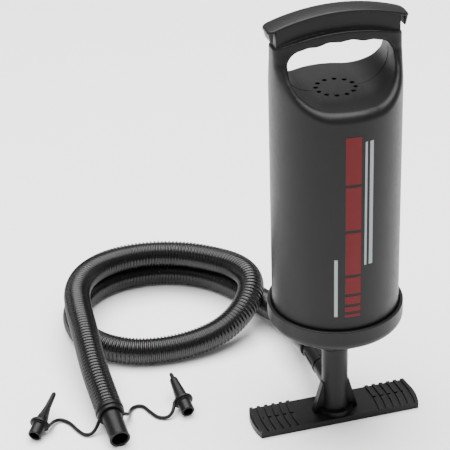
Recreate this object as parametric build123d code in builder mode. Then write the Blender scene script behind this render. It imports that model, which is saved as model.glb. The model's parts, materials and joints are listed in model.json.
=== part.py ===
"""Double-action hand air pump with a foot plate, hose and two adaptors.

The user stands on the foot plate and works the barrel up and down by its handle. The barrel slides,
and turns freely, on a hollow shaft. A piston fixed to the top of the shaft stays still inside it, so
every stroke, up or down, sends air through the piston's valves, down the shaft and out of its rear
port into the hose.

Millimetres. The origin is on the floor, on the shaft's axis. +Z is up, +X runs along the foot plate
and -Y is the front. The pump is drawn closed, with the barrel all the way down.
"""
import math
import os

from build123d import *

os.makedirs("parts", exist_ok=True)

# Foot plate
PLATE_LENGTH = 162.0          # between its corners; the ends bulge by END_BULGE more
END_BULGE = 3.5
RIB_BULGE = 1.8
PLATE_WIDTH = 42.6
PLATE_Y = 2.6                 # middle of the plate: it reaches further behind the shaft
PLATE_TOP = 6.4
RIB_HEIGHT = 1.6
RIB_WIDTH = 3.4
RIB_PITCH = 7.6
RIB_COUNT = 6
SOCKET_RADIUS = 17.5
SOCKET_TOP = 11.5
GUSSET_TOP = 40.0
GUSSET_REACH = 22.5
GUSSET_THICKNESS = 7.0

# Shaft, its plug and its rear port
SHAFT_RADIUS = 12.7
SHAFT_BORE = 10.2
SHAFT_BOTTOM = 4.5
SHAFT_TOP = 323.4
PORT_Z = 31.0
PORT_RADIUS = 9.5
PORT_BORE = 8.0
PORT_END = 38.0
SLIP = 0.05                   # radial clearance of a bonded or pushed-in piece

# Hose and what is on it
CUFF_START = 72.0
CUFF_END = 112.0
HOSE_RADIUS = 14.0
HOSE_BORE = 11.6
NOZZLE_RADIUS = 10.3
NOZZLE_LENGTH = 41.0
NOZZLE_BORE = 7.8
STRAP_WIDTH = 3.6

# Piston
PISTON_TOP = 343.4
PISTON_PLATE = 3.0
PISTON_RADIUS = 57.0
PISTON_BOTTOM = 321.4
PISTON_HUB_BOTTOM = 303.4
VALVE_THICKNESS = 1.2
VALVE_LIFT = 1.5

# Barrel, handle and grip
BARREL_RADIUS = 60.0
BORE_RADIUS = 57.5
BARREL_BOTTOM = 119.0
SHOULDER_Z = 358.0            # the barrel is round up to here
DECK_Z = 353.5                # top of the deck
BORE_TOP = 350.3
GAP_HALF = 49.0               # half the width of the finger gap
GAP_CORNER = 28.0             # radius between the deck and the arms
GRIP_BOTTOM = 401.5
GRIP_FLANGE_TOP = 411.5
GRIP_TOP = 427.2
WEB_HALF_LENGTH = 57.6
WEB_HALF_DEPTH = 8.5
COVER_HALF_LENGTH = 65.0
COVER_LIP = 9.0               # how far the cover's ends hang down
BOSS_RADIUS = 4.4
GUARD_BOTTOM = 345.7
PRINT_THICKNESS = 0.25
COVER_TOP = 430.4
COVER_HALF_DEPTH = 11.5
CROWN_RADIUS = 185.0          # the grip is an arc of this radius, seen from the front
VENT_COUNT = 12
VENT_CIRCLE = 17.75
VENT_RADIUS = 2.3

# Bottom cap
CAP_RADIUS = 64.5
CAP_TOP = 134.3
CAP_SOCKET = 60.15
CAP_LEDGE = 117.5
CAP_WALL = 3.0
HUB_BOTTOM = 83.0
HUB_RADIUS = 18.0
HUB_BORE = 16.0
CONE_TOP = (64.5, 117.5)
CONE_BOTTOM = (19.0, 85.0)
HUB_TOP = 108.7
BUSH_BOTTOM = 86.5
RETAINER_TOP = 110.7
SCREW_CIRCLE = 21.2
VALVE_PLATE_Z = 104.0
VALVE_PLATE_RADIUS = 41.0

# The hose's route, from the cuff to its free end: down to the floor, one loop and a half, the
# second turn lying on the first, and forward over it to the nozzle.
HOSE_ROUTE = [
    (0, 112, 31), (0, 131, 31), (-3, 153, 26), (-9, 181, 17.5), (-17, 210, 14.2), (-31, 241, 14.2),
    (-53, 271, 14.2), (-85, 293, 14.2), (-124, 302, 14.2), (-162, 296, 14.2), (-193, 275, 14.2),
    (-211, 243, 14.2), (-214, 206, 14.2), (-201, 172, 14.2), (-172, 149, 14.2), (-136, 141, 14.2),
    (-99, 142, 16), (-66, 150, 22), (-39, 168, 34), (-24, 196, 44), (-29, 231, 44), (-55, 260, 43.4),
    (-87, 282, 43.4), (-125, 292, 43.4), (-163, 287, 43.4), (-192, 268, 43.4), (-208, 238, 43.4),
    (-213, 203, 43.6), (-215, 168, 43), (-217, 134, 38), (-218, 103, 31), (-217.2, 76, 24.6),
    (-216.2, 50, 19.0),
]

# The tether's two straps, from the nozzle's ring to each adaptor
LEFT_STRAP = [
    (-227.7, 43.4, 12.9), (-233, 37.5, 4.5), (-243, 36.5, 2.1), (-249, 48, 2.1), (-253.5, 63, 2.1),
    (-261, 71, 2.6), (-268.5, 67.5, 4.5), (-272.5, 59.1, 7.8), (-276.4, 52.7, 10.8),
]
RIGHT_STRAP = [
    (-203.5, 42.8, 15.5), (-197.5, 46, 11), (-194.5, 58, 4.5), (-189, 69, 2.2), (-179, 70, 2.1),
    (-174, 56, 2.1), (-169, 44, 2.1), (-160, 40, 2.6), (-154.4, 42.5, 6), (-151.4, 47, 9.5),
    (-149.9, 51.3, 11),
]

# Adaptors: the middle of the open end, and the heading of the tip seen from above, in degrees
ADAPTOR_TILT = 15.6
PLAIN_MOUTH = (-292.0, 46.0, 7.0)
PLAIN_HEADING = 56.0
STEPPED_MOUTH = (-139.5, 37.7, 7.0)
STEPPED_HEADING = 95.0


def axial_plane(origin, direction):
    """A plane through an axis: its local Y runs along the axis and its local X is the radius."""
    along = Vector(*direction).normalized()
    radius = Vector(along.Y, -along.X, 0).normalized()
    return Plane(origin=origin, x_dir=radius, z_dir=radius.cross(along))


def turned(outline, origin=(0, 0, 0), direction=(0, 0, 1)):
    """A solid of revolution from (radius, distance along the axis) points."""
    plane = Plane.XZ if direction == (0, 0, 1) else axial_plane(origin, direction)
    with BuildPart() as piece:
        with BuildSketch(plane):
            with BuildLine():
                Polyline(*outline, close=True)
            make_face()
        revolve(axis=Axis(origin, direction))
    return piece


def ring(inner, outer, bottom, top):
    """A flat ring about the shaft's axis."""
    return turned([(inner, bottom), (outer, bottom), (outer, top), (inner, top)])


def save(piece, name):
    """Label a finished piece and write it."""
    solid = piece.part if isinstance(piece, BuildPart) else piece
    solid.label = name
    export_step(solid, f"parts/{name}.step")


def tube_path(points):
    """Straight runs joined by the largest tangent arcs that they allow, and the arcs' radii."""
    spots = [Vector(*point) for point in points]
    radii = []
    for before, here, after in zip(spots, spots[1:], spots[2:]):
        shorter = min((here - before).length, (after - here).length)
        turn = (here - before).get_angle(after - here)
        radii.append(0.45 * shorter / math.tan(math.radians(turn / 2)))
    with BuildLine() as path:
        FilletPolyline(*points, radius=radii)
    return path, radii


# ---------------------------------------------------------------- foot plate
def curved_bar(middle, width):
    """The plan of a bar across the plate, bulging outward like the plate's ends."""
    front = PLATE_Y - PLATE_WIDTH / 2
    back = PLATE_Y + PLATE_WIDTH / 2
    side = math.copysign(1, middle)
    outer = middle + side * width / 2
    inner = middle - side * width / 2
    bulge = side * RIB_BULGE
    with BuildSketch(Plane.XY.offset(PLATE_TOP)) as plan:
        with BuildLine():
            ThreePointArc((outer, front), (outer + bulge, PLATE_Y), (outer, back))
            Line((outer, back), (inner, back))
            ThreePointArc((inner, back), (inner + bulge, PLATE_Y), (inner, front))
            Line((inner, front), (outer, front))
        make_face()
    return plan.sketch


with BuildPart() as foot_plate:
    with BuildSketch():
        with BuildLine():
            end = PLATE_LENGTH / 2
            front = PLATE_Y - PLATE_WIDTH / 2
            back = PLATE_Y + PLATE_WIDTH / 2
            Line((-end, front), (end, front))
            ThreePointArc((end, front), (end + END_BULGE, PLATE_Y), (end, back))
            Line((end, back), (-end, back))
            ThreePointArc((-end, back), (-end - END_BULGE, PLATE_Y), (-end, front))
        make_face()
    extrude(amount=PLATE_TOP)
    # ribs for grip across both ends
    for side in (-1, 1):
        for number in range(RIB_COUNT):
            bar = curved_bar(side * (end - RIB_WIDTH / 2 - number * RIB_PITCH), RIB_WIDTH)
            extrude(bar, amount=RIB_HEIGHT)
        # a notch across the middle of the ribs
        with BuildSketch(Plane.XY.offset(PLATE_TOP)):
            with Locations((side * (end - RIB_PITCH * RIB_COUNT / 2 - 4), PLATE_Y)):
                Rectangle(RIB_PITCH * RIB_COUNT - 8, 2.2)
        extrude(amount=RIB_HEIGHT, mode=Mode.SUBTRACT)
    # socket for the shaft, with a gusset each side
    with BuildSketch(Plane.XY.offset(PLATE_TOP)):
        Circle(SOCKET_RADIUS)
    extrude(amount=SOCKET_TOP - PLATE_TOP)
    for side in (-1, 1):
        with BuildSketch(Plane.XZ):
            with BuildLine():
                Polyline(
                    (side * SHAFT_BORE, PLATE_TOP),
                    (side * SHAFT_BORE, GUSSET_TOP),
                    (side * (SHAFT_RADIUS + 0.8), GUSSET_TOP),
                    (side * GUSSET_REACH, PLATE_TOP),
                    close=True,
                )
            make_face()
        extrude(amount=GUSSET_THICKNESS / 2, both=True)
    with BuildSketch(Plane.XY.offset(SHAFT_BOTTOM)):
        Circle(SHAFT_RADIUS + SLIP)
    extrude(amount=GUSSET_TOP, mode=Mode.SUBTRACT)
    # screw hole and lightening pockets, from below
    with BuildSketch():
        Circle(4.6)
    extrude(amount=2.4, mode=Mode.SUBTRACT)
    with BuildSketch():
        Circle(2.15)
    extrude(amount=SHAFT_BOTTOM, mode=Mode.SUBTRACT)
    for side in (-1, 1):
        with BuildSketch():
            with Locations((side * 52, PLATE_Y)):
                with GridLocations(13.5, 17, 4, 2):
                    Rectangle(11.5, 14.5)
        extrude(amount=3.8, mode=Mode.SUBTRACT)
save(foot_plate, "foot_plate")

base_screw = turned([(0, 0.2), (4.2, 0.2), (4.2, 2.4), (1.95, 2.4), (1.95, 13.0), (0, 14.5)])
save(base_screw, "base_screw")

# ---------------------------------------------------------------- shaft
port_plane = Plane(origin=(0, 0, PORT_Z), x_dir=(1, 0, 0), z_dir=(0, 1, 0))

with BuildPart() as shaft:
    with BuildSketch(Plane.XY.offset(SHAFT_BOTTOM)):
        Circle(SHAFT_RADIUS)
    extrude(amount=SHAFT_TOP - SHAFT_BOTTOM)
    with BuildSketch(port_plane):
        Circle(PORT_RADIUS)
    extrude(amount=PORT_END)
    with BuildSketch(Plane.XY.offset(SHAFT_BOTTOM)):
        Circle(SHAFT_BORE)
    extrude(amount=SHAFT_TOP - SHAFT_BOTTOM, mode=Mode.SUBTRACT)
    with BuildSketch(port_plane):
        Circle(PORT_BORE)
    extrude(amount=PORT_END, mode=Mode.SUBTRACT)
    # pilot holes for the piston's cross screws
    with BuildSketch(Plane.YZ):
        with Locations((0, 312)):
            Circle(1.45)
    extrude(amount=SHAFT_RADIUS, both=True, mode=Mode.SUBTRACT)
save(shaft, "shaft")

shaft_plug = turned(
    [(1.95 + SLIP, SHAFT_BOTTOM), (SHAFT_BORE - SLIP, SHAFT_BOTTOM), (SHAFT_BORE - SLIP, 17.5),
     (0, 17.5), (0, 14.6), (1.95 + SLIP, 14.6)]
)
save(shaft_plug, "shaft_plug")

# ---------------------------------------------------------------- hose coupling and cuff
RIB_PLACES = (0, 90, 180, 270)
coupling_profile = [
    (5.1, 24), (7.9, 24), (7.9, 28.6), (6.15, 28.6), (6.15, 30.6), (7.9, 30.6), (7.9, 38.4),
    (10.2, 38.4), (10.2, 41.4), (9.4, 42.2), (9.4, 71.9), (7.0, 71.9), (7.0, 77), (7.5, 78.5),
    (7.0, 80), (7.0, 84), (7.5, 85.5), (7.0, 87), (7.0, 91), (5.1, 91),
]
hose_coupling = turned(coupling_profile, (0, 0, PORT_Z), (0, 1, 0))
with BuildPart() as coupling_ribs:
    for angle in RIB_PLACES:
        with BuildSketch(Plane(origin=(0, 0, PORT_Z), x_dir=(1, 0, 0), z_dir=(0, 1, 0)).offset(42)):
            with Locations(Location((0, 0), angle)):
                with Locations((9.4, 0)):
                    Rectangle(2.0, 1.8)
        extrude(amount=24)
save(hose_coupling.part + coupling_ribs.part, "hose_coupling")

with BuildPart() as coupling_oring:
    with BuildSketch(axial_plane((0, 0, PORT_Z), (0, 1, 0))):
        with Locations((7.05, 29.6)):
            Circle(0.88)
    revolve(axis=Axis((0, 0, PORT_Z), (0, 1, 0)))
save(coupling_oring, "coupling_oring")

hose_cuff = turned(
    [(7.6, CUFF_START), (10.9, CUFF_START), (11.4, 73), (11.4, 76), (10.9, 77), (11.2, 84),
     (12.6, 93), (13.9, 101), (14.5, 107), (14.6, 111), (14.2, CUFF_END), (11.7, CUFF_END),
     (11.7, 96), (7.6, 93)],
    (0, 0, PORT_Z), (0, 1, 0),
)
save(hose_cuff, "hose_cuff")

# ---------------------------------------------------------------- hose
hose_path, hose_radii = tube_path(HOSE_ROUTE)
hose_start = Plane(origin=HOSE_ROUTE[0], z_dir=(0, 1, 0))
with BuildPart() as hose:
    with BuildSketch(hose_start):
        Circle(HOSE_RADIUS)
        Circle(HOSE_BORE, mode=Mode.SUBTRACT)
    sweep(path=hose_path.wire())
save(hose, "hose")
print("hose length", round(hose_path.wire().length, 1), "radii", [round(r) for r in hose_radii])
section = math.pi * (HOSE_RADIUS**2 - HOSE_BORE**2)
print("hose volume ratio", round(hose.part.volume / (section * hose_path.wire().length), 4))

# ---------------------------------------------------------------- nozzle, tether and adaptors
hose_end = Vector(*HOSE_ROUTE[-1])
nozzle_axis = (hose_end - Vector(*HOSE_ROUTE[-2])).normalized()
hose_nozzle = turned(
    [(NOZZLE_BORE, 0), (13.6, 0), (14.3, 0.8), (14.3, 4.4), (13.8, 5), (NOZZLE_RADIUS, 5),
     (NOZZLE_RADIUS, 12), (9.95, 20), (9.95, NOZZLE_LENGTH - 0.6), (9.4, NOZZLE_LENGTH),
     (NOZZLE_BORE, NOZZLE_LENGTH)],
    HOSE_ROUTE[-1], tuple(nozzle_axis),
)
save(hose_nozzle, "hose_nozzle")


def adaptor_axis(heading):
    """The direction from an adaptor's open end to its tip."""
    flat = math.cos(math.radians(ADAPTOR_TILT))
    turn = math.radians(heading)
    return (flat * math.cos(turn), flat * math.sin(turn), math.sin(math.radians(ADAPTOR_TILT)))


plain_axis = adaptor_axis(PLAIN_HEADING)
plain_adaptor = turned(
    [(4.9, 0), (6.5, 0), (6.7, 0.6), (6.7, 12), (8.4, 12), (8.4, 13.2), (7.0, 13.4), (7.0, 16.4),
     (6.4, 20), (3.6, 33), (3.2, 36), (2.3, 53.4), (1.6, 55), (0.9, 55), (1.2, 36), (4.9, 14)],
    PLAIN_MOUTH, plain_axis,
)
save(plain_adaptor, "plain_adaptor")

stepped_axis = adaptor_axis(STEPPED_HEADING)
stepped_adaptor = turned(
    [(4.9, 0), (6.5, 0), (6.7, 0.6), (6.7, 12), (8.4, 12), (8.4, 13.2), (7.0, 13.4), (7.0, 16.4),
     (6.5, 19), (4.1, 43.5), (3.4, 44.8), (2.2, 46), (1.7, 51.5), (1.2, 52), (0.8, 52), (0.9, 46),
     (4.0, 17), (4.9, 14)],
    STEPPED_MOUTH, stepped_axis,
)
save(stepped_adaptor, "stepped_adaptor")


def strap(points):
    """One strap of the tether: a rounded cord of flat section."""
    path, radii = tube_path(points)
    start = Vector(*points[1]) - Vector(*points[0])
    with BuildPart() as piece:
        with BuildSketch(Plane(origin=points[0], z_dir=start)):
            Circle(STRAP_WIDTH / 2)
        sweep(path=path.wire())
    print("strap radii", [round(r, 1) for r in radii])
    return piece.part


def collar(origin, direction, near, far, inner, outer):
    """One ring of the tether, round an axis."""
    return turned([(inner, near), (outer, near), (outer, far), (inner, far)], origin, direction).part


adaptor_tether = (
    collar(HOSE_ROUTE[-1], tuple(nozzle_axis), 5.2, 9.4, NOZZLE_RADIUS + 0.2, 13.5)
    + collar(PLAIN_MOUTH, plain_axis, 13.4, 16.2, 7.2, 10.0)
    + collar(STEPPED_MOUTH, stepped_axis, 13.4, 16.2, 7.2, 10.0)
    + strap(LEFT_STRAP)
    + strap(RIGHT_STRAP)
)
save(adaptor_tether, "adaptor_tether")

# ---------------------------------------------------------------- piston
with BuildPart() as piston_body:
    with BuildSketch(Plane.XZ):
        with BuildLine():
            Polyline(
                (SHAFT_RADIUS + SLIP, PISTON_HUB_BOTTOM), (17, PISTON_HUB_BOTTOM),
                (17, PISTON_BOTTOM), (PISTON_RADIUS, PISTON_BOTTOM), (PISTON_RADIUS, 326),
                (53.4, 326), (53.4, 331.2), (PISTON_RADIUS, 331.2), (PISTON_RADIUS, 340.4),
                (51, 340.4), (51, 324.4), (SHAFT_BORE + 0.2, 324.4), (SHAFT_BORE + 0.2, SHAFT_TOP),
                (SHAFT_RADIUS + SLIP, SHAFT_TOP), close=True,
            )
        make_face()
    revolve(axis=Axis.Z)
    # fins that carry and centre the upper valve
    for angle in (0, 90):
        with BuildSketch(Plane.XZ.rotated((0, 0, angle))):
            with BuildLine():
                Polyline((14, 324), (33, 324), (33, 337.7), (20, 337.7), (20, 339.8), (14, 339.8),
                         close=True)
            make_face()
            mirror(about=Plane.YZ)
        extrude(amount=1.0, both=True)
    with BuildSketch(Plane.XY.offset(PISTON_BOTTOM)):
        with PolarLocations(43, 12):
            Circle(3.4)
    extrude(amount=PISTON_PLATE, mode=Mode.SUBTRACT)
    with BuildSketch(Plane.XY.offset(340.4)):
        with PolarLocations(54, 4, start_angle=45):
            Circle(1.35)
    extrude(amount=-8, mode=Mode.SUBTRACT)
    with BuildSketch(Plane.YZ):
        with Locations((0, 312)):
            Circle(1.45)
    extrude(amount=20, both=True, mode=Mode.SUBTRACT)
save(piston_body, "piston_body")

with BuildPart() as piston_cover:
    with BuildSketch(Plane.XY.offset(340.4)):
        Circle(PISTON_RADIUS)
        with PolarLocations(28, 10):
            Circle(3.2, mode=Mode.SUBTRACT)
    extrude(amount=PISTON_PLATE)
    with Locations((0, 0, PISTON_TOP)):
        with PolarLocations(54, 4, start_angle=45):
            CounterBoreHole(radius=1.35, counter_bore_radius=2.6, counter_bore_depth=1.7)
save(piston_cover, "piston_cover")

save(ring(53.45, 57.45, 326.1, 331.1), "piston_ring")
save(ring(36, 50, PISTON_BOTTOM + PISTON_PLATE, PISTON_BOTTOM + PISTON_PLATE + VALVE_THICKNESS),
     "lower_delivery_valve")
save(ring(21, 35, 337.7, 337.7 + VALVE_THICKNESS), "upper_delivery_valve")
save(ring(SHAFT_RADIUS + 0.2, 17.6, PISTON_HUB_BOTTOM - 5, PISTON_HUB_BOTTOM), "rebound_ring")

with BuildPart() as piston_screws:
    for head_top, head_bottom, tip in ((343.2, 341.7, 333),):
        with BuildSketch(Plane.XY.offset(tip)):
            with PolarLocations(54, 4, start_angle=45):
                Circle(1.3)
        extrude(amount=head_bottom - tip)
        with BuildSketch(Plane.XY.offset(head_bottom)):
            with PolarLocations(54, 4, start_angle=45):
                Circle(2.45)
        extrude(amount=head_top - head_bottom)
save(piston_screws, "piston_screws")

with BuildPart() as shaft_screws:
    for side in (-1, 1):
        with BuildSketch(Plane(origin=(side * 10.8, 0, 312), z_dir=(side, 0, 0))):
            Circle(1.4)
        extrude(amount=6.3)
        with BuildSketch(Plane(origin=(side * 17.05, 0, 312), z_dir=(side, 0, 0))):
            Circle(2.8)
        extrude(amount=1.8)
save(shaft_screws, "shaft_screws")

# ---------------------------------------------------------------- barrel and handle
# Height, half widths along X and Y, and squareness, of the outside above the round barrel
SHOULDER_SECTIONS = [
    (SHOULDER_Z - 3, 59.95, 59.95, 2.0), (366, 59.95, 58.6, 2.0), (372, 59.9, 50.0, 2.1),
    (378, 59.9, 32.0, 2.6), (386, 59.8, 18.5, 3.6), (398, 59.7, 15.2, 4.0),
    (COVER_TOP + 3, 59.7, 13.6, 4.0),
]
# The underside of the grip, seen from the front, with its shallow finger hollows
GRIP_UNDERSIDE = [
    (38, 398.6), (30, 400.6), (21, 400.2), (11, 402.8), (0, 401.4), (-11, 402.8), (-21, 400.2),
    (-30, 400.6), (-38, 398.6),
]


def squared_oval(half_x, half_y, squareness):
    """Points round a superellipse: an oval that is squarer the larger its exponent."""
    points = []
    for step in range(24):
        angle = 2 * math.pi * step / 24
        across = math.copysign(abs(math.cos(angle)) ** (2 / squareness), math.cos(angle))
        along = math.copysign(abs(math.sin(angle)) ** (2 / squareness), math.sin(angle))
        points.append((half_x * across, half_y * along))
    return points


def arc_height(x, crown):
    """Height at x of an arc of the grip whose crown is at the given height."""
    return crown - CROWN_RADIUS + math.sqrt(CROWN_RADIUS**2 - x**2)


def arched_band(half_length, low, high):
    """The outline, seen from the front, of a band of the grip between two crowns."""
    with BuildSketch(Plane.XZ) as band:
        with BuildLine():
            left_low = (-half_length, arc_height(half_length, low))
            right_low = (half_length, arc_height(half_length, low))
            left_high = (-half_length, arc_height(half_length, high))
            right_high = (half_length, arc_height(half_length, high))
            ThreePointArc(left_low, (0, low), right_low)
            Line(right_low, right_high)
            ThreePointArc(right_high, (0, high), left_high)
            Line(left_high, left_low)
        make_face()
    return band.sketch


with BuildPart() as shoulder:
    for height, half_x, half_y, squareness in SHOULDER_SECTIONS:
        with BuildSketch(Plane.XY.offset(height)):
            with BuildLine():
                Spline(*squared_oval(half_x, half_y, squareness), periodic=True)
            make_face()
    loft()

with BuildPart() as above_grip:
    extrude(arched_band(80, GRIP_FLANGE_TOP, GRIP_FLANGE_TOP + 60), amount=70, both=True)
    extrude(arched_band(WEB_HALF_LENGTH, GRIP_FLANGE_TOP - 2, GRIP_TOP), amount=WEB_HALF_DEPTH,
            both=True, mode=Mode.SUBTRACT)

with BuildPart() as finger_gap:
    with BuildSketch(Plane.XZ):
        with BuildLine():
            FilletPolyline((GAP_HALF, 388), (GAP_HALF, DECK_Z), (-GAP_HALF, DECK_Z),
                           (-GAP_HALF, 388), radius=GAP_CORNER)
            ThreePointArc((-GAP_HALF, 388), (-46, 395.6), (-38, 398.6))
            Spline(*reversed(GRIP_UNDERSIDE))
            ThreePointArc((38, 398.6), (46, 395.6), (GAP_HALF, 388))
        make_face()
    extrude(amount=80, both=True)

with BuildPart() as bore:
    with BuildSketch(Plane.XZ):
        with BuildLine():
            Polyline(
                (0, BARREL_BOTTOM - 1), (BORE_RADIUS, BARREL_BOTTOM - 1), (BORE_RADIUS, 343),
                (56, 346.5), (52.5, 349), (44, BORE_TOP), (BOSS_RADIUS, BORE_TOP),
                (BOSS_RADIUS, 347.9), (0, 347.9), close=True,
            )
        make_face()
    revolve(axis=Axis.Z)

handle = (shoulder.part - finger_gap.part) - above_grip.part

with BuildPart() as barrel:
    with BuildSketch(Plane.XY.offset(BARREL_BOTTOM)):
        Circle(BARREL_RADIUS)
    extrude(amount=SHOULDER_Z - BARREL_BOTTOM)
    add(finger_gap.part, mode=Mode.SUBTRACT)
    add(handle)
    add(bore.part, mode=Mode.SUBTRACT)
    # vents through the deck, and the screw hole of the intake guard
    with BuildSketch(Plane.XY.offset(DECK_Z)):
        with PolarLocations(VENT_CIRCLE, VENT_COUNT, start_angle=15):
            Circle(VENT_RADIUS)
    extrude(amount=-6, mode=Mode.SUBTRACT)
    with BuildSketch(Plane.XY.offset(347)):
        Circle(1.35)
    extrude(amount=5.6, mode=Mode.SUBTRACT)
save(barrel, "barrel")
print("barrel", barrel.part.volume, len(barrel.part.solids()))

with BuildPart() as grip_cover:
    extrude(arched_band(COVER_HALF_LENGTH, GRIP_TOP, COVER_TOP), amount=COVER_HALF_DEPTH, both=True)
    # lips at both ends, leaning in to the arms
    lip_top = arc_height(COVER_HALF_LENGTH, GRIP_TOP) + 1.2
    for side in (-1, 1):
        with BuildSketch(Plane.XZ):
            with BuildLine():
                Polyline(
                    (side * COVER_HALF_LENGTH, lip_top), (side * 60.4, lip_top),
                    (side * 59.8, lip_top - COVER_LIP), (side * 61.4, lip_top - COVER_LIP - 0.6),
                    (side * 63.2, lip_top - COVER_LIP + 1.5), close=True,
                )
            make_face()
        extrude(amount=COVER_HALF_DEPTH - 1.5, both=True)
    # the cover's ends are rounded seen from above
    with BuildSketch(Plane.XY.offset(GRIP_BOTTOM)):
        RectangleRounded(2 * COVER_HALF_LENGTH, 2 * COVER_HALF_DEPTH, radius=6)
    extrude(amount=COVER_TOP - GRIP_BOTTOM, mode=Mode.INTERSECT)
save(grip_cover, "grip_cover")

# ---------------------------------------------------------------- valve in the deck
save(ring(5.0, 24, BORE_TOP - VALVE_LIFT - VALVE_THICKNESS, BORE_TOP - VALVE_LIFT),
     "top_intake_valve")

with BuildPart() as intake_guard:
    with BuildSketch(Plane.XY.offset(GUARD_BOTTOM)):
        Circle(28)
        with PolarLocations(15.5, 6):
            SlotArc(CenterArc((0, 0), 15.5, -19, 38), 9, mode=Mode.SUBTRACT)
    extrude(amount=BORE_TOP - VALVE_LIFT - VALVE_THICKNESS - GUARD_BOTTOM)
    with BuildSketch(Plane.XY.offset(GUARD_BOTTOM)):
        with PolarLocations(26.4, 6):
            Circle(1.5)
    extrude(amount=BORE_TOP - GUARD_BOTTOM)
    with BuildSketch(Plane.XY.offset(GUARD_BOTTOM)):
        Circle(1.45)
    extrude(amount=3, mode=Mode.SUBTRACT)
save(intake_guard, "intake_guard")

guard_screw = turned([(0, 344.1), (3.2, 344.1), (3.2, GUARD_BOTTOM), (1.3, GUARD_BOTTOM),
                      (1.3, 351.6), (0, 352.2)])
save(guard_screw, "guard_screw")

# ---------------------------------------------------------------- bottom cap
CONE_SLOPE = (CONE_TOP[1] - CONE_BOTTOM[1]) / (CONE_TOP[0] - CONE_BOTTOM[0])


def cone_inside(radius):
    """Height of the cone's inner surface at a radius."""
    rise = CAP_WALL * math.hypot(1, CONE_SLOPE)
    return CONE_BOTTOM[1] + CONE_SLOPE * (radius - CONE_BOTTOM[0]) + rise


with BuildPart() as bottom_cap:
    with BuildSketch(Plane.XZ):
        with BuildLine():
            Polyline(
                (SHAFT_RADIUS + 0.5, HUB_BOTTOM), (HUB_RADIUS, HUB_BOTTOM), CONE_BOTTOM, CONE_TOP,
                (CAP_RADIUS, CAP_TOP), (CAP_SOCKET + 1.2, CAP_TOP), (CAP_SOCKET, CAP_TOP - 1),
                (CAP_SOCKET, CAP_LEDGE), (BORE_RADIUS, CAP_LEDGE),
                (BORE_RADIUS, cone_inside(BORE_RADIUS)),
                (VALVE_PLATE_RADIUS + SLIP, cone_inside(VALVE_PLATE_RADIUS + SLIP)),
                (VALVE_PLATE_RADIUS + SLIP, VALVE_PLATE_Z), (37.5, VALVE_PLATE_Z),
                (37.5, cone_inside(37.5)), (21, cone_inside(21)), (21, VALVE_PLATE_Z),
                (HUB_RADIUS, VALVE_PLATE_Z), (HUB_RADIUS, HUB_TOP), (HUB_BORE, HUB_TOP),
                (HUB_BORE, BUSH_BOTTOM), (SHAFT_RADIUS + 0.5, BUSH_BOTTOM), close=True,
            )
        make_face()
    revolve(axis=Axis.Z)
    fillet(bottom_cap.edges().filter_by(GeomType.CIRCLE).filter_by(
        lambda edge: abs(edge.radius - CAP_RADIUS) < 0.01).group_by(Axis.Z)[0], radius=9)
    # posts for the retainer's screws, and the air holes in the cone
    with BuildSketch(Plane.XY.offset(VALVE_PLATE_Z)):
        with PolarLocations(SCREW_CIRCLE, 3, start_angle=90):
            Circle(3.2)
    extrude(amount=-14)
    with BuildSketch(Plane.XY.offset(VALVE_PLATE_Z)):
        with PolarLocations(SCREW_CIRCLE, 3, start_angle=90):
            Circle(1.35)
    extrude(amount=-11, mode=Mode.SUBTRACT)
    with BuildSketch(Plane.XY.offset(HUB_BOTTOM)):
        with PolarLocations(30.5, 12):
            Circle(3.0)
    extrude(amount=18, mode=Mode.SUBTRACT)
save(bottom_cap, "bottom_cap")

save(ring(BORE_RADIUS, BARREL_RADIUS, CAP_LEDGE, BARREL_BOTTOM), "cap_gasket")
save(ring(SHAFT_RADIUS + 0.04, HUB_BORE - SLIP, BUSH_BOTTOM, 103), "guide_bush")
rod_seal = turned([
    (SHAFT_RADIUS + 0.9, 103.2), (HUB_BORE - SLIP, 103.2), (HUB_BORE - SLIP, 108.4),
    (SHAFT_RADIUS + 1.6, 108.4), (SHAFT_RADIUS + 0.02, 106.6), (SHAFT_RADIUS + 0.02, 105.6),
    (SHAFT_RADIUS + 0.9, 104.6),
])
save(rod_seal, "rod_seal")

with BuildPart() as valve_plate:
    with BuildSketch(Plane.XY.offset(VALVE_PLATE_Z)):
        Circle(VALVE_PLATE_RADIUS)
        Circle(HUB_RADIUS + SLIP, mode=Mode.SUBTRACT)
        with PolarLocations(32, 14):
            Circle(3.0, mode=Mode.SUBTRACT)
    extrude(amount=2)
    with BuildSketch(Plane.XY.offset(VALVE_PLATE_Z)):
        Circle(24)
        Circle(HUB_RADIUS + SLIP, mode=Mode.SUBTRACT)
    extrude(amount=HUB_TOP - VALVE_PLATE_Z)
    with BuildSketch(Plane.XY.offset(VALVE_PLATE_Z)):
        with PolarLocations(SCREW_CIRCLE, 3, start_angle=90):
            Circle(1.45)
    extrude(amount=6, mode=Mode.SUBTRACT)
save(valve_plate, "valve_plate")

save(ring(25, 39.5, VALVE_PLATE_Z + 2, VALVE_PLATE_Z + 2 + VALVE_THICKNESS), "bottom_intake_valve")

with BuildPart() as valve_retainer:
    with BuildSketch(Plane.XY.offset(HUB_TOP)):
        Circle(41)
        Circle(SHAFT_RADIUS + 0.6, mode=Mode.SUBTRACT)
        with PolarLocations(0, 6, start_angle=30):
            SlotArc(CenterArc((0, 0), 32, -17, 34), 11, mode=Mode.SUBTRACT)
        with PolarLocations(SCREW_CIRCLE, 3, start_angle=90):
            Circle(1.45, mode=Mode.SUBTRACT)
    extrude(amount=RETAINER_TOP - HUB_TOP)
save(valve_retainer, "valve_retainer")

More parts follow.
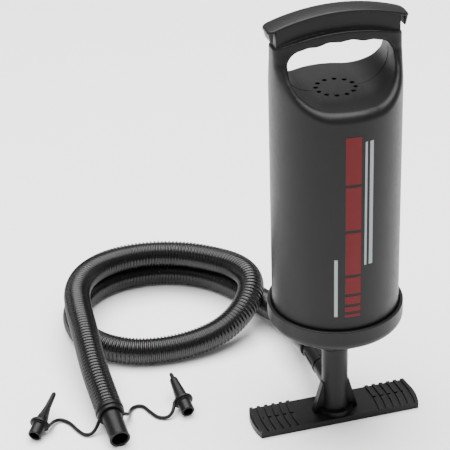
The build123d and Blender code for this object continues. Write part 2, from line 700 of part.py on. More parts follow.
with BuildPart() as retainer_screws:
    with BuildSketch(Plane.XY.offset(RETAINER_TOP)):
        with PolarLocations(SCREW_CIRCLE, 3, start_angle=90):
            Circle(2.5)
    extrude(amount=1.6)
    with BuildSketch(Plane.XY.offset(RETAINER_TOP)):
        with PolarLocations(SCREW_CIRCLE, 3, start_angle=90):
            Circle(1.3)
    extrude(amount=-16)
save(retainer_screws, "retainer_screws")

# ---------------------------------------------------------------- printed decoration
# Plain blocks: start and end angle round the barrel from its front, bottom and top height
RED_BLOCKS = [
    (-10.6, 3.2, 286, 332), (-10.6, 3.2, 240, 283), (-10.6, 3.2, 194, 237), (-10.6, 3.2, 174, 191),
    (-10.6, 3.2, 163, 171), (-10.6, 3.2, 155, 160), (-10.6, 3.2, 149, 152),
]
PALE_BLOCKS = [(6.6, 8.6, 202, 326), (11.0, 14.4, 202, 326), (-20.0, -17.0, 150, 210)]


def printed(blocks):
    """Thin blocks that follow the barrel's surface."""
    pieces = []
    for first, last, low, high in blocks:
        with BuildPart() as block:
            with BuildSketch(Plane.XZ.rotated((0, 0, first))):
                with Locations((BARREL_RADIUS + PRINT_THICKNESS / 2, (low + high) / 2)):
                    Rectangle(PRINT_THICKNESS - 0.02, high - low)
            revolve(axis=Axis.Z, revolution_arc=last - first)
        pieces.append(block.part.moved(Rotation(0, 0, -90)))
    return Compound(children=pieces)


save(printed(RED_BLOCKS), "red_print")
save(printed(PALE_BLOCKS), "pale_print")
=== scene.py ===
"""The looks of a double-action hand air pump with a foot plate, hose and two adaptors.

Metres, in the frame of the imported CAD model: the floor at z = 0, the shaft on the Z axis, -Y the front.
"""
import json
import math

import bmesh
import bpy
import numpy as np
from mathutils import Matrix, Vector


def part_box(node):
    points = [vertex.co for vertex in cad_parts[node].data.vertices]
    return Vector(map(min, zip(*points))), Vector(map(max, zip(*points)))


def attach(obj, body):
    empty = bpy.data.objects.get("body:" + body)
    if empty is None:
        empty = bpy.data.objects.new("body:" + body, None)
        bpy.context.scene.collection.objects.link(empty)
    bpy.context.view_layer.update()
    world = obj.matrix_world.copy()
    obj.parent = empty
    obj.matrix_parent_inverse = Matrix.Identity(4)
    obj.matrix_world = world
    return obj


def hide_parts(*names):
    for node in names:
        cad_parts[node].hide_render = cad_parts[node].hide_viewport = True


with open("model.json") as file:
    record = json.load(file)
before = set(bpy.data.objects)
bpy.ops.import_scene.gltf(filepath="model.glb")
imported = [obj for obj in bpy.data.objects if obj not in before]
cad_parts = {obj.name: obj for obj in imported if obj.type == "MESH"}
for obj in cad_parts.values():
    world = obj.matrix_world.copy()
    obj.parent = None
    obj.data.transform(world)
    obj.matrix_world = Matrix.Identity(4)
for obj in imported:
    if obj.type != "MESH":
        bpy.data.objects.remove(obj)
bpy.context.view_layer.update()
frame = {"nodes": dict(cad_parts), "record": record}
MM = 0.001
NODES = frame["nodes"]


# ---------------------------------------------------------------- camera
CAMERA_PLACE = (-0.462395, -1.317818, 0.999897)
CAMERA_AZIMUTH = -15.14
CAMERA_ELEVATION = 29.35
CAMERA_ROLL = -1.902
CAMERA_LENS = 137.92
SENSOR_WIDTH = 36


def add_camera():
    """A camera at the photograph's viewing angle."""
    turn = math.radians(CAMERA_AZIMUTH)
    tilt = math.radians(CAMERA_ELEVATION)
    roll = math.radians(CAMERA_ROLL)
    back = Vector((math.sin(turn) * math.cos(tilt), -math.cos(turn) * math.cos(tilt), math.sin(tilt)))
    right = Vector((math.cos(turn), math.sin(turn), 0))
    up = back.cross(right)
    right, up = (
        math.cos(roll) * right + math.sin(roll) * up,
        math.cos(roll) * up - math.sin(roll) * right,
    )
    lens = bpy.data.cameras.new("camera")
    lens.lens = CAMERA_LENS
    lens.sensor_width = SENSOR_WIDTH
    lens.dof.use_dof = False
    camera = bpy.data.objects.new("camera", lens)
    bpy.context.scene.collection.objects.link(camera)
    turned = Matrix((right, up, back)).transposed().to_4x4()
    camera.matrix_world = Matrix.Translation(CAMERA_PLACE) @ turned
    bpy.context.scene.camera = camera


# ---------------------------------------------------------------- materials
PLASTIC_IOR = 1.5
# Noise in the finish: its scale, then its detail
CLOUDS = (22, 5)
SCRATCHES = (160, 8)
SCRATCH_DISTORTION = 1.5
GRAIN_DETAIL = 2
GRAIN_DEPTH = 0.4 * MM
ROUGH_RANGE = 0.10
# How sharp an edge is where its wear starts, and where it is full
WEAR_START = 0.53
WEAR_FULL = 0.60
WORN_GAIN = 2.2
WORN_LIFT = 0.006


def plastic(name, color, rough, grain_scale, grain, mottle=0.25, wear=0.0, shine=0.20):
    """Moulded plastic: fine grain in the bump, slow variation of gloss and shade, and paler worn edges."""
    material = bpy.data.materials.new(name)
    material.use_nodes = True
    tree = material.node_tree
    shader = tree.nodes["Principled BSDF"]
    shader.inputs["IOR"].default_value = PLASTIC_IOR
    shader.inputs["Specular IOR Level"].default_value = shine
    place = tree.nodes.new("ShaderNodeTexCoord")
    slow = tree.nodes.new("ShaderNodeTexNoise")
    slow.inputs["Scale"].default_value, slow.inputs["Detail"].default_value = CLOUDS
    fine = tree.nodes.new("ShaderNodeTexNoise")
    fine.inputs["Scale"].default_value = grain_scale
    fine.inputs["Detail"].default_value = GRAIN_DETAIL
    scratch = tree.nodes.new("ShaderNodeTexNoise")
    scratch.inputs["Scale"].default_value, scratch.inputs["Detail"].default_value = SCRATCHES
    scratch.inputs["Distortion"].default_value = SCRATCH_DISTORTION
    for texture in (slow, fine, scratch):
        tree.links.new(place.outputs["Object"], texture.inputs["Vector"])
    shade = tree.nodes.new("ShaderNodeMix")
    shade.data_type = "RGBA"
    shade.inputs["A"].default_value = (*[c * (1 - mottle) for c in color], 1)
    shade.inputs["B"].default_value = (*[c * (1 + mottle) for c in color], 1)
    tree.links.new(slow.outputs["Fac"], shade.inputs["Factor"])
    result = shade.outputs["Result"]
    if wear:
        geometry = tree.nodes.new("ShaderNodeNewGeometry")
        edge = tree.nodes.new("ShaderNodeMapRange")
        edge.inputs["From Min"].default_value = WEAR_START
        edge.inputs["From Max"].default_value = WEAR_FULL
        edge.inputs["To Max"].default_value = wear
        tree.links.new(geometry.outputs["Pointiness"], edge.inputs["Value"])
        broken = tree.nodes.new("ShaderNodeMath")
        broken.operation = "MULTIPLY"
        tree.links.new(edge.outputs["Result"], broken.inputs[0])
        tree.links.new(scratch.outputs["Fac"], broken.inputs[1])
        worn = tree.nodes.new("ShaderNodeMix")
        worn.data_type = "RGBA"
        worn.inputs["B"].default_value = (*[min(1, c * WORN_GAIN + WORN_LIFT) for c in color], 1)
        tree.links.new(result, worn.inputs["A"])
        tree.links.new(broken.outputs["Value"], worn.inputs["Factor"])
        result = worn.outputs["Result"]
    tree.links.new(result, shader.inputs["Base Color"])
    gloss = tree.nodes.new("ShaderNodeMapRange")
    gloss.inputs["To Min"].default_value = rough - ROUGH_RANGE
    gloss.inputs["To Max"].default_value = rough + ROUGH_RANGE
    tree.links.new(scratch.outputs["Fac"], gloss.inputs["Value"])
    tree.links.new(gloss.outputs["Result"], shader.inputs["Roughness"])
    bump = tree.nodes.new("ShaderNodeBump")
    bump.inputs["Strength"].default_value = grain
    bump.inputs["Distance"].default_value = GRAIN_DEPTH
    tree.links.new(fine.outputs["Fac"], bump.inputs["Height"])
    tree.links.new(bump.outputs["Normal"], shader.inputs["Normal"])
    return material


def metal(name, color, rough):
    """Plated screw steel: the plastic's fine grain, on metal."""
    material = plastic(name, color, rough, 900, 0.12, mottle=0.08)
    material.node_tree.nodes["Principled BSDF"].inputs["Metallic"].default_value = 1
    return material


LOOKS = {
    "black_plastic": plastic("black_plastic", (0.0028, 0.0028, 0.0030), 0.40, 1500, 0.20, wear=0.5),
    "charcoal_plastic": plastic("charcoal_plastic", (0.0050, 0.0051, 0.0050), 0.40, 1900, 0.22, wear=0.35),
    "hose_plastic": plastic("hose_plastic", (0.0018, 0.0018, 0.0020), 0.24, 1200, 0.10, wear=0.2, shine=0.5),
    "soft_rubber": plastic("soft_rubber", (0.02, 0.02, 0.02), 0.62, 1400, 0.25),
    "inner_plastic": plastic("inner_plastic", (0.60, 0.59, 0.55), 0.45, 1100, 0.10, mottle=0.06),
    "valve_sheet": plastic("valve_sheet", (0.17, 0.045, 0.035), 0.55, 1300, 0.20, mottle=0.12),
    "screw_steel": metal("screw_steel", (0.55, 0.55, 0.57), 0.32),
    "red_ink": plastic("red_ink", (0.10, 0.002, 0.004), 0.46, 2200, 0.20, mottle=0.18),
    "pale_ink": plastic("pale_ink", (0.26, 0.28, 0.29), 0.46, 2200, 0.20, mottle=0.10),
}

for part in frame["record"]["subparts"]:
    node = NODES[part["node"]]
    node.data.materials.clear()
    node.data.materials.append(LOOKS[part["material_slot"]])


# ---------------------------------------------------------------- mesh helpers
def add_mesh(name, verts, faces, look, body, stands_for=(), sharp=0.6):
    """A mesh piece in its finish, riding on a body and standing for CAD nodes."""
    mesh = bpy.data.meshes.new(name)
    mesh.from_pydata([tuple(v) for v in verts], [], faces)
    mesh.validate()
    mesh.update()
    piece = bpy.data.objects.new(name, mesh)
    bpy.context.scene.collection.objects.link(piece)
    mesh.materials.append(LOOKS[look])
    tidy = bmesh.new()
    tidy.from_mesh(mesh)
    bmesh.ops.recalc_face_normals(tidy, faces=tidy.faces)
    for edge in tidy.edges:
        edge.smooth = not (edge.is_manifold and edge.calc_face_angle(0) > sharp)
    for face in tidy.faces:
        face.smooth = True
    tidy.to_mesh(mesh)
    tidy.free()
    if stands_for:
        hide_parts(*stands_for)
    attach(piece, body)
    return piece


def frame_along(direction):
    """Two unit vectors square to a direction, and the direction."""
    along = Vector(direction).normalized()
    side = along.cross(Vector((0, 0, 1)))
    side = Vector((1, 0, 0)) if side.length < 1e-6 else side.normalized()
    return side, side.cross(along), along


def lathe(name, outline, origin, direction, look, body, stands_for=(), steps=72, wave=None):
    """A closed turned piece from (radius, distance) points in mm.

    wave(turn, distance, radius) scales a radius.
    """
    side, up, along = frame_along(direction)
    origin = Vector(origin)
    verts = []
    for radius, distance in outline:
        for step in range(steps):
            turn = 2 * math.pi * step / steps
            reach = radius * MM * (wave(turn, distance, radius) if wave else 1)
            verts.append(origin + along * distance * MM
                         + side * reach * math.cos(turn) + up * reach * math.sin(turn))
    count = len(outline)
    faces = [
        (r * steps + s, r * steps + (s + 1) % steps,
         (r + 1) % count * steps + (s + 1) % steps, (r + 1) % count * steps + s)
        for r in range(count) for s in range(steps)
    ]
    return add_mesh(name, verts, faces, look, body, stands_for)


# The most of an edge that the rounding at one of its ends may take
CORNER_SHARE = 0.45


def rounded(points, radius, steps=5):
    """An outline of (radius, distance) points with its corners rounded."""
    result = []
    count = len(points)
    for i, here in enumerate(points):
        before = Vector(points[i - 1]) - Vector(here)
        after = Vector(points[(i + 1) % count]) - Vector(here)
        cut = min(radius, CORNER_SHARE * before.length, CORNER_SHARE * after.length)
        start = Vector(here) + before.normalized() * cut
        finish = Vector(here) + after.normalized() * cut
        for step in range(steps + 1):
            t = step / steps
            spot = (1 - t) ** 2 * start + 2 * t * (1 - t) * Vector(here) + t * t * finish
            result.append(tuple(spot))
    return result


# ---------------------------------------------------------------- hose
HOSE_ROUTE = [
    (0, 112, 31), (0, 131, 31), (-3, 153, 26), (-9, 181, 17.5), (-17, 210, 14.2), (-31, 241, 14.2),
    (-53, 271, 14.2), (-85, 293, 14.2), (-124, 302, 14.2), (-162, 296, 14.2), (-193, 275, 14.2),
    (-211, 243, 14.2), (-214, 206, 14.2), (-201, 172, 14.2), (-172, 149, 14.2), (-136, 141, 14.2),
    (-99, 142, 16), (-66, 150, 22), (-39, 168, 34), (-24, 196, 44), (-29, 231, 44), (-55, 260, 43.4),
    (-87, 282, 43.4), (-125, 292, 43.4), (-163, 287, 43.4), (-192, 268, 43.4), (-208, 238, 43.4),
    (-213, 203, 43.6), (-215, 168, 43), (-217, 134, 38), (-218, 103, 31), (-217.2, 76, 24.6),
    (-216.2, 50, 19.0),
]
HOSE_RADIUS = 14.0 * MM
HOSE_DEPTH = 1.5 * MM
RIB_PITCH = 3.9 * MM
# One rib: how far along its pitch, and how much of the groove's depth is taken away
RIB_SHAPE = [
    (0.0, 0.0), (0.12, 0.12), (0.22, 0.5), (0.32, 0.9),
    (0.5, 1.0), (0.68, 0.9), (0.78, 0.5), (0.88, 0.12),
]
# How far ahead and behind a tube's direction is measured, and the angle that its shading rounds
DIRECTION_REACH = 0.0006
TUBE_SHARP = 1.2


def spline_points(name, route, resolution=24):
    """The points along a quadratic spline through a route in mm."""
    curve = bpy.data.curves.new(name, "CURVE")
    curve.dimensions = "3D"
    spline = curve.splines.new("NURBS")
    spline.points.add(len(route) - 1)
    for point, (x, y, z) in zip(spline.points, route):
        point.co = (x * MM, y * MM, z * MM, 1)
    spline.order_u = 3
    spline.use_endpoint_u = True
    spline.resolution_u = resolution
    holder = bpy.data.objects.new(name, curve)
    bpy.context.scene.collection.objects.link(holder)
    mesh = bpy.data.meshes.new_from_object(holder)
    points = [vertex.co.copy() for vertex in mesh.vertices]
    bpy.data.objects.remove(holder)
    bpy.data.meshes.remove(mesh)
    return points


def walk(points):
    """Distances along a line of points."""
    totals = [0.0]
    for a, b in zip(points, points[1:]):
        totals.append(totals[-1] + (b - a).length)
    return totals


def point_at(points, totals, distance, start=0):
    """The place a distance along a line, and the run it is in."""
    run = start
    while run < len(points) - 2 and totals[run + 1] < distance:
        run += 1
    share = (distance - totals[run]) / max(totals[run + 1] - totals[run], 1e-12)
    return points[run].lerp(points[run + 1], share), run


def tube(name, points, rings, look, body, stands_for=(), steps=36):
    """A closed tube along points; rings are (distance, radius)."""
    totals = walk(points)
    verts = []
    side = None
    run = 0
    for distance, radius in rings:
        place, run = point_at(points, totals, min(distance, totals[-1]), run)
        ahead, _ = point_at(points, totals, min(distance + DIRECTION_REACH, totals[-1]), run)
        behind, _ = point_at(points, totals, max(distance - DIRECTION_REACH, 0), 0)
        along = (ahead - behind).normalized()
        if side is None:
            side = along.cross(Vector((0, 0, 1))).normalized()
        side = (side - along * side.dot(along)).normalized()
        up = side.cross(along)
        for step in range(steps):
            turn = 2 * math.pi * step / steps
            verts.append(place + side * radius * math.cos(turn) + up * radius * math.sin(turn))
    count = len(rings)
    faces = [
        (r * steps + s, r * steps + (s + 1) % steps, (r + 1) * steps + (s + 1) % steps, (r + 1) * steps + s)
        for r in range(count - 1) for s in range(steps)
    ]
    faces += [tuple(range(steps)), tuple((count - 1) * steps + s for s in range(steps))]
    return add_mesh(name, verts, faces, look, body, stands_for, sharp=TUBE_SHARP)


def even_rings(length, radius, count):
    """Rings of one radius, evenly spaced along a length."""
    return [(length * number / count, radius) for number in range(count + 1)]


hose_points = spline_points("hose_line", HOSE_ROUTE)
hose_totals = walk(hose_points)
hose_length = hose_totals[-1]


def hose_rings():
    """The corrugated hose's rings, from end to end."""
    ribs = round(hose_length / RIB_PITCH)
    pitch = hose_length / ribs
    rings = [
        ((rib + along) * pitch, HOSE_RADIUS - HOSE_DEPTH * depth)
        for rib in range(ribs) for along, depth in RIB_SHAPE
    ]
    return rings + [(hose_length, HOSE_RADIUS)]


hose = tube("corrugated_hose", hose_points, hose_rings(), "hose_plastic", "base", ["hose"])
add_camera()

# ---------------------------------------------------------------- hose end pieces
PORT_Z = 31 * MM
hose_end = Vector(HOSE_ROUTE[-1]) * MM
nozzle_axis = (Vector(HOSE_ROUTE[-1]) - Vector(HOSE_ROUTE[-2])).normalized()

nozzle = lathe(
    "nozzle",
    rounded([(7.8, 0), (13.9, 0), (14.3, 0.9), (14.3, 4.3), (13.8, 4.9), (10.35, 5.0), (10.3, 12),
             (9.95, 20), (9.95, 39.6), (10.35, 40.1), (10.35, 41), (8.3, 41), (7.8, 40.2)], 0.5),
    hose_end, nozzle_axis, "black_plastic", "base", ["hose_nozzle"],
)
cuff = lathe(
    "cuff",
    rounded([(7.6, 72), (10.9, 72), (11.4, 73), (11.4, 76), (10.9, 77), (11.2, 84), (12.6, 93),
             (13.9, 101), (14.5, 107), (14.6, 111), (14.2, 112), (11.7, 112), (11.7, 96), (7.6, 93)], 0.8),
    (0, 0, PORT_Z), (0, 1, 0), "black_plastic", "base", ["hose_cuff"],
)

# ---------------------------------------------------------------- adaptors and tether
ADAPTOR_TILT = 15.6
ADAPTOR_CORNER = 0.35
# Both adaptors start alike: mouth, collar, and the neck that the ring sits on
ADAPTOR_SOCKET = [
    (4.9, 0), (6.4, 0), (6.7, 0.5), (6.7, 12), (8.4, 12.1), (8.4, 13.1), (7.0, 13.4), (7.0, 16.4),
]
ADAPTOR_RING = rounded([(7.2, 13.4), (10, 13.4), (10, 16.2), (7.2, 16.2)], 0.8)
# The bore at the tip is too thin to flute
THINNEST_FLUTED = 1.5
STRAP_RADIUS = 1.8 * MM
STRAP_RINGS = 60


def adaptor_axis(heading):
    """The way an adaptor points as it lies on its collar, tip up."""
    flat = math.cos(math.radians(ADAPTOR_TILT))
    turn = math.radians(heading)
    return Vector((flat * math.cos(turn), flat * math.sin(turn), math.sin(math.radians(ADAPTOR_TILT))))


plain_mouth = Vector((-292.0, 46.0, 7.0)) * MM
plain_axis = adaptor_axis(56.0)
stepped_mouth = Vector((-139.5, 37.7, 7.0)) * MM
stepped_axis = adaptor_axis(95.0)


def fluted(count, depth, first, last):
    """Lengthwise flutes between two distances."""
    def wave(turn, distance, radius):
        if first <= distance <= last and radius > THINNEST_FLUTED:
            return 1 - depth * (0.5 + 0.5 * math.cos(count * turn))
        return 1
    return wave


plain = lathe(
    "plain_adaptor_shape",
    rounded([*ADAPTOR_SOCKET, (6.6, 18.5), (5.6, 23), (4.6, 28), (3.7, 33), (3.2, 36), (3.0, 40),
             (2.7, 46), (2.35, 53), (1.8, 55), (0.9, 55), (1.2, 36), (4.9, 14)], ADAPTOR_CORNER, 3),
    plain_mouth, plain_axis, "black_plastic", "base", ["plain_adaptor"], wave=fluted(8, 0.16, 20, 52),
)
stepped = lathe(
    "stepped_adaptor_shape",
    rounded([*ADAPTOR_SOCKET, (6.5, 19), (5.7, 27), (4.9, 35), (4.15, 43), (3.5, 44.6), (2.3, 45.8),
             (2.1, 48), (1.8, 51.4), (1.4, 52), (0.8, 52), (0.9, 46), (4.0, 17), (4.9, 14)],
            ADAPTOR_CORNER, 3),
    stepped_mouth, stepped_axis, "black_plastic", "base", ["stepped_adaptor"],
)

LEFT_STRAP = [
    (-227.7, 43.4, 12.9), (-233, 37.5, 4.5), (-243, 36.5, 2.1), (-249, 48, 2.1), (-253.5, 63, 2.1),
    (-261, 71, 2.6), (-268.5, 67.5, 4.5), (-272.5, 59.1, 7.8), (-276.4, 52.7, 10.8),
]
RIGHT_STRAP = [
    (-203.5, 42.8, 15.5), (-197.5, 46, 11), (-194.5, 58, 4.5), (-189, 69, 2.2), (-179, 70, 2.1),
    (-174, 56, 2.1), (-169, 44, 2.1), (-160, 40, 2.6), (-154.4, 42.5, 6), (-151.4, 47, 9.5),
    (-149.9, 51.3, 11),
]


def strap(name, route):
    """One of the tether's two thin straps."""
    points = spline_points(name + "_line", route, resolution=12)
    rings = even_rings(walk(points)[-1], STRAP_RADIUS, STRAP_RINGS)
    return tube(name, points, rings, "black_plastic", "base", steps=16)


left_strap = strap("left_strap", LEFT_STRAP)
right_strap = strap("right_strap", RIGHT_STRAP)
tether_ring = lathe(
    "tether_ring", rounded([(10.5, 5.2), (13.5, 5.2), (13.5, 9.4), (10.5, 9.4)], 0.9),
    hose_end, nozzle_axis, "black_plastic", "base", ["adaptor_tether"],
)
plain_ring = lathe("plain_ring", ADAPTOR_RING, plain_mouth, plain_axis, "black_plastic", "base")
stepped_ring = lathe("stepped_ring", ADAPTOR_RING, stepped_mouth, stepped_axis, "black_plastic", "base")

# ---------------------------------------------------------------- solids from distance fields
# How the net's vertices are pulled onto the surface, in mm: passes, probe, least slope, most move
PULL_PASSES = 4
PROBE = 0.01
LEAST_SLOPE = 0.05
MOST_MOVE = 0.6


def round_and(first, second, radius):
    """The field of what is in both, with the edge between them rounded."""
    reach = np.hypot(np.maximum(radius + first, 0), np.maximum(radius + second, 0))
    return np.minimum(-radius, np.maximum(first, second)) + reach


def surface_net(field, axes):
    """Vertices and quads, in mm, of the surface where a field is zero on a grid."""
    grid = np.meshgrid(*axes, indexing="ij")
    value = field(*grid)
    inside = value < 0
    shape = [len(axis) - 1 for axis in axes]
    total = np.zeros((*shape, 3))
    crossings = np.zeros(shape)
    count = np.zeros(shape, int)
    corners = [(i, j, k) for i in (0, 1) for j in (0, 1) for k in (0, 1)]

    def corner(data, place):
        return data[tuple(slice(p, p + n) for p, n in zip(place, shape))]

    for place in corners:
        count += corner(inside, place)
        for axis in range(3):
            if place[axis]:
                continue
            other = tuple(p + (n == axis) for n, p in enumerate(place))
            here, there = corner(value, place), corner(value, other)
            cross = (here < 0) != (there < 0)
            share = np.where(cross, here / np.where(cross, here - there, 1), 0)
            for n in range(3):
                start, finish = corner(grid[n], place), corner(grid[n], other)
                total[..., n] += np.where(cross, start + share * (finish - start), 0)
            crossings += cross
    mixed = (count > 0) & (count < 8)
    index = np.full(shape, -1)
    index[mixed] = np.arange(mixed.sum())
    verts = total[mixed] / crossings[mixed][:, None]
    for _ in range(PULL_PASSES):
        here = field(*verts.T)
        slope = np.stack([
            (field(*(verts + shift).T) - field(*(verts - shift).T)) / (2 * PROBE)
            for shift in PROBE * np.eye(3)
        ], axis=1)
        steep = np.maximum((slope**2).sum(axis=1), LEAST_SLOPE)
        move = slope * (here / steep)[:, None]
        verts = verts - np.clip(move, -MOST_MOVE, MOST_MOVE)
    faces = []
    for axis in range(3):
        u, v = (axis + 1) % 3, (axis + 2) % 3
        low = [slice(1, -1)] * 3
        high = [slice(1, -1)] * 3
        low[axis] = slice(0, -1)
        high[axis] = slice(1, None)
        change = inside[tuple(low)] != inside[tuple(high)]
        at = np.argwhere(change)
        at[:, u] += 1
        at[:, v] += 1
        ring = []
        for du, dv in ((0, 0), (-1, 0), (-1, -1), (0, -1)):
            cell = at.copy()
            cell[:, u] += du
            cell[:, v] += dv
            ring.append(index[tuple(cell.T)])
        faces.append(np.stack(ring, axis=1))
    return verts * MM, np.concatenate(faces).tolist()


# ---------------------------------------------------------------- barrel
BARREL_RADIUS = 60.0
BORE_RADIUS = 57.5
BARREL_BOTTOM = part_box("barrel")[0][2] / MM
BORE_TOP = 350.3
DECK_Z = 353.5
GAP_HALF = 49.0
GAP_CORNER = 28.0
GRIP_FLANGE_TOP = 411.5
GRIP_TOP = 427.2
COVER_TOP = 430.4
COVER_HALF_DEPTH = 11.5
COVER_HALF_LENGTH = 65.0
CROWN_RADIUS = 185.0
WEB_HALF_LENGTH = 57.6
WEB_HALF_DEPTH = 8.5
WEB_SINK = 3
WEB_CLEARANCE = 0.02
VENT_COUNT = 12
VENT_CIRCLE = 17.75
VENT_RADIUS = 2.3
VENT_SIDES = 28
VENT_CUT_DEPTH = 12.0
BORE_CORNER = 6.0
FLANGE_EDGE = 1.5
# The crowned top's distance is a little overstated where it slopes
CROWN_SLOPE = 0.95
GAP_ROOF_CORNER = 11.0
# The rim of the finger gap is rounded less towards the grip
RIM_Z = (364, 392)
RIM_RADII = (9.0, 3.0)
COVER_CORNER = 6.0
COVER_CAMBER = 0.006
COVER_TOP_EDGE = 1.4
COVER_LOW_EDGE = 0.6
LIP_OVERLAP = 1.5
LIP_DEPTH = 9.0
LIP_SET_BACK = 0.7
LIP_LEAN = 0.22
LIP_NARROWING = 1.2
LIP_CORNER = 3.0
LIP_EDGE = 0.8
LIP_INSIDE_X = 60.2
# The shoulder: height, half depth, squareness
SHOULDER = np.array([
    (358, 60, 2.0), (366, 58.6, 2.0), (372, 50, 2.1), (378, 32, 2.6), (386, 18.5, 3.6),
    (398, 15.2, 4.0), (430, 13.6, 4.0),
])
UNDERSIDE_X = (0, 11, 21, 30, 38, 49)
UNDERSIDE_Z = (401.4, 402.8, 400.2, 400.6, 398.6, 396.5)


def smooth_interp(z, places, values, reach=3.0):
    """Linear interpolation softened over a few millimetres."""
    offsets = np.linspace(-reach, reach, 7)
    return sum(np.interp(z + offset, places, values) for offset in offsets) / len(offsets)


def arc_height(x, crown):
    """The height of the grip's crowned arc, whose top is at crown."""
    return crown - CROWN_RADIUS + np.sqrt(CROWN_RADIUS**2 - x**2)


def barrel_field(x, y, z):
    """Negative inside the barrel and its handle."""
    half_y = smooth_interp(z, SHOULDER[:, 0], SHOULDER[:, 1])
    square = smooth_interp(z, SHOULDER[:, 0], SHOULDER[:, 2])
    radius = np.maximum(np.hypot(x, y), 0.001)
    norm = ((np.abs(x) / BARREL_RADIUS) ** square + (np.abs(y) / half_y) ** square) ** (1 / square)
    outer = radius - radius / np.maximum(norm, 1e-6)
    # the finger gap: rounded at the bottom, hollowed for the fingers at the top
    across = np.abs(x) - (GAP_HALF - GAP_CORNER)
    down = DECK_Z + GAP_CORNER - z
    trough = (np.hypot(np.maximum(across, 0), np.maximum(down, 0))
              + np.minimum(np.maximum(across, down), 0) - GAP_CORNER)
    roof = z - smooth_interp(np.abs(x), UNDERSIDE_X, UNDERSIDE_Z, 2.0)
    gap = round_and(trough, roof, GAP_ROOF_CORNER)
    rim = np.interp(z, RIM_Z, RIM_RADII)
    body = round_and(outer, -gap, rim)
    # the flange under the recess, and the web that carries the cover
    top = (z - arc_height(x, GRIP_FLANGE_TOP)) * CROWN_SLOPE
    body = round_and(body, top, FLANGE_EDGE)
    web = np.maximum(np.abs(y) - WEB_HALF_DEPTH, np.abs(x) - WEB_HALF_LENGTH)
    web = np.maximum(web, z - arc_height(x, GRIP_TOP - WEB_CLEARANCE))
    web = np.maximum(web, arc_height(x, GRIP_FLANGE_TOP - WEB_SINK) - z)
    body = np.minimum(body, web)
    bore = round_and(radius - BORE_RADIUS, z - BORE_TOP, BORE_CORNER)
    body = np.maximum(body, -bore)
    return np.maximum(body, BARREL_BOTTOM - z)


def cover_field(x, y, z):
    """Negative inside the thin cover on the grip, with its hanging ends."""
    plan = (np.hypot(np.maximum(np.abs(x) - COVER_HALF_LENGTH + COVER_CORNER, 0),
                     np.maximum(np.abs(y) - COVER_HALF_DEPTH + COVER_CORNER, 0)) - COVER_CORNER)
    crowned = arc_height(x, COVER_TOP) - COVER_CAMBER * y * y
    plate = round_and(plan, z - crowned, COVER_TOP_EDGE)
    plate = round_and(plate, arc_height(x, GRIP_TOP) - z, COVER_LOW_EDGE)
    lip_top = float(arc_height(COVER_HALF_LENGTH, GRIP_TOP)) + LIP_OVERLAP
    lean = COVER_HALF_LENGTH - LIP_SET_BACK - LIP_LEAN * np.maximum(lip_top - z, 0)
    lip = round_and(np.abs(y) - COVER_HALF_DEPTH + LIP_NARROWING, np.abs(x) - lean, LIP_CORNER)
    lip = np.maximum(lip, LIP_INSIDE_X - np.abs(x))
    lip = round_and(lip, np.maximum(z - lip_top, lip_top - LIP_DEPTH - z), LIP_EDGE)
    return np.minimum(plate, lip)


def cut_vents(piece):
    """A circle of round holes through the deck."""
    cutter = bmesh.new()
    reach = VENT_CIRCLE * MM
    for number in range(VENT_COUNT):
        turn = math.radians(360 / VENT_COUNT * (number + 0.5))
        spot = Matrix.Translation((reach * math.cos(turn), reach * math.sin(turn), DECK_Z * MM))
        bmesh.ops.create_cone(cutter, cap_ends=True, segments=VENT_SIDES, radius1=VENT_RADIUS * MM,
                              radius2=VENT_RADIUS * MM, depth=VENT_CUT_DEPTH * MM, matrix=spot)
    mesh = bpy.data.meshes.new("vent_cutter")
    cutter.to_mesh(mesh)
    cutter.free()
    holder = bpy.data.objects.new("vent_cutter", mesh)
    bpy.context.scene.collection.objects.link(holder)
    cut = piece.modifiers.new("vents", "BOOLEAN")
    cut.object = holder
    cut.operation = "DIFFERENCE"
    cut.solver = "EXACT"
    bpy.context.view_layer.update()
    finished = bpy.data.meshes.new_from_object(piece.evaluated_get(bpy.context.evaluated_depsgraph_get()))
    piece.modifiers.clear()
    piece.data = finished
    bpy.data.objects.remove(holder)


def even_axis(reach, step):
    """Grid places from -reach to just past reach."""
    return np.arange(-reach, reach + 0.1, step)


# The grid is coarse up the plain wall and fine over the deck and handle
PLAIN_WALL_TOP = 338
flat_axis = even_axis(BARREL_RADIUS + 2.35, 1.0)
height_axis = np.concatenate([
    [BARREL_BOTTOM - 1.6, BARREL_BOTTOM - 0.5],
    np.arange(BARREL_BOTTOM + 1, PLAIN_WALL_TOP, 4.0),
    np.arange(PLAIN_WALL_TOP + 0.2, 432, 0.9),
])
barrel = add_mesh("barrel_shape", *surface_net(barrel_field, (flat_axis, flat_axis, height_axis)),
                  "charcoal_plastic", "barrel", ["barrel"], sharp=0.9)
cut_vents(barrel)
cover_axes = (
    even_axis(COVER_HALF_LENGTH + 2.1, 0.8),
    even_axis(COVER_HALF_DEPTH + 1.6, 0.8),
    np.arange(403.3, 433, 0.6),
)
add_mesh("cover_shape", *surface_net(cover_field, cover_axes), "charcoal_plastic", "barrel",
         ["grip_cover"], sharp=0.9)

SEAM_RADIUS = 0.22 * MM
SEAM_RINGS = 40
SEAM_TURNS = 12
SEAM_TOP = 388


def seam_points(side):
    """The parting line, from beside the vents out over the deck and up inside one arm."""
    points = []
    for step in range(SEAM_TURNS + 1):
        turn = math.radians(90 * step / SEAM_TURNS)
        points.append(Vector((
            side * (GAP_HALF - GAP_CORNER + GAP_CORNER * math.sin(turn)), 0,
            DECK_Z + GAP_CORNER - GAP_CORNER * math.cos(turn),
        )))
    points.append(Vector((side * GAP_HALF, 0, SEAM_TOP)))
    return [point * MM for point in points]


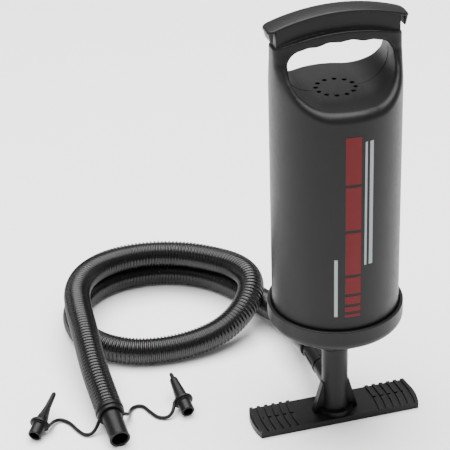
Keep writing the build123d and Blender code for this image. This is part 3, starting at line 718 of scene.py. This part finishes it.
for side, name in ((-1, "left_seam"), (1, "right_seam")):
    line = seam_points(side)
    rings = even_rings(walk(line)[-1], SEAM_RADIUS, SEAM_RINGS)
    tube(name, line, rings, "black_plastic", "barrel", steps=8)

# the collar's rolled lip
lathe(
    "collar_lip",
    rounded([(60.2, 133.2), (63.9, 133.2), (64.55, 134.4), (63.6, 135.3), (61.4, 135.3), (60.5, 134.2)], 0.5),
    (0, 0, 0), (0, 0, 1), "charcoal_plastic", "barrel", steps=160,
)

# ---------------------------------------------------------------- floor and light
FLOOR_REACH = 6
WORLD_LIGHT = 0.42
# Each soft light: name, place, what it points at, size, power
LIGHTS = [
    ("overhead", (-0.1, 0.3, 2.6), (-0.05, 0.1, 0), 3.0, 290),
    ("left", (-2.0, -0.2, 0.9), (0, 0, 0.25), 1.0, 8),
    ("right", (1.9, 0.3, 0.8), (0, 0, 0.25), 0.8, 5),
    ("front", (0.1, -2.4, 1.3), (-0.05, 0, 0.2), 1.2, 4),
]


def add_light(name, place, target, size, power):
    """A soft white area light, pointed at a target."""
    lamp = bpy.data.lights.new(name, "AREA")
    lamp.energy = power
    lamp.size = size
    light = bpy.data.objects.new(name, lamp)
    bpy.context.scene.collection.objects.link(light)
    light.location = place
    light.rotation_euler = (Vector(target) - Vector(place)).to_track_quat("-Z", "Y").to_euler()


def add_floor():
    """A plain pale floor, which is not part of the object."""
    reach = FLOOR_REACH
    mesh = bpy.data.meshes.new("floor")
    corners = [(-reach, -reach, 0), (reach, -reach, 0), (reach, reach, 0), (-reach, reach, 0)]
    mesh.from_pydata(corners, [], [(0, 1, 2, 3)])
    floor = bpy.data.objects.new("floor", mesh)
    bpy.context.scene.collection.objects.link(floor)
    pale = bpy.data.materials.new("pale_floor")
    pale.use_nodes = True
    shader = pale.node_tree.nodes["Principled BSDF"]
    shader.inputs["Base Color"].default_value = (0.93, 0.93, 0.93, 1)
    shader.inputs["Roughness"].default_value = 0.85
    shader.inputs["Specular IOR Level"].default_value = 0.2
    mesh.materials.append(pale)


add_floor()
world = bpy.data.worlds.new("studio")
bpy.context.scene.world = world
world.use_nodes = True
world.node_tree.nodes["Background"].inputs["Color"].default_value = (1, 1, 1, 1)
world.node_tree.nodes["Background"].inputs["Strength"].default_value = WORLD_LIGHT
for light in LIGHTS:
    add_light(*light)
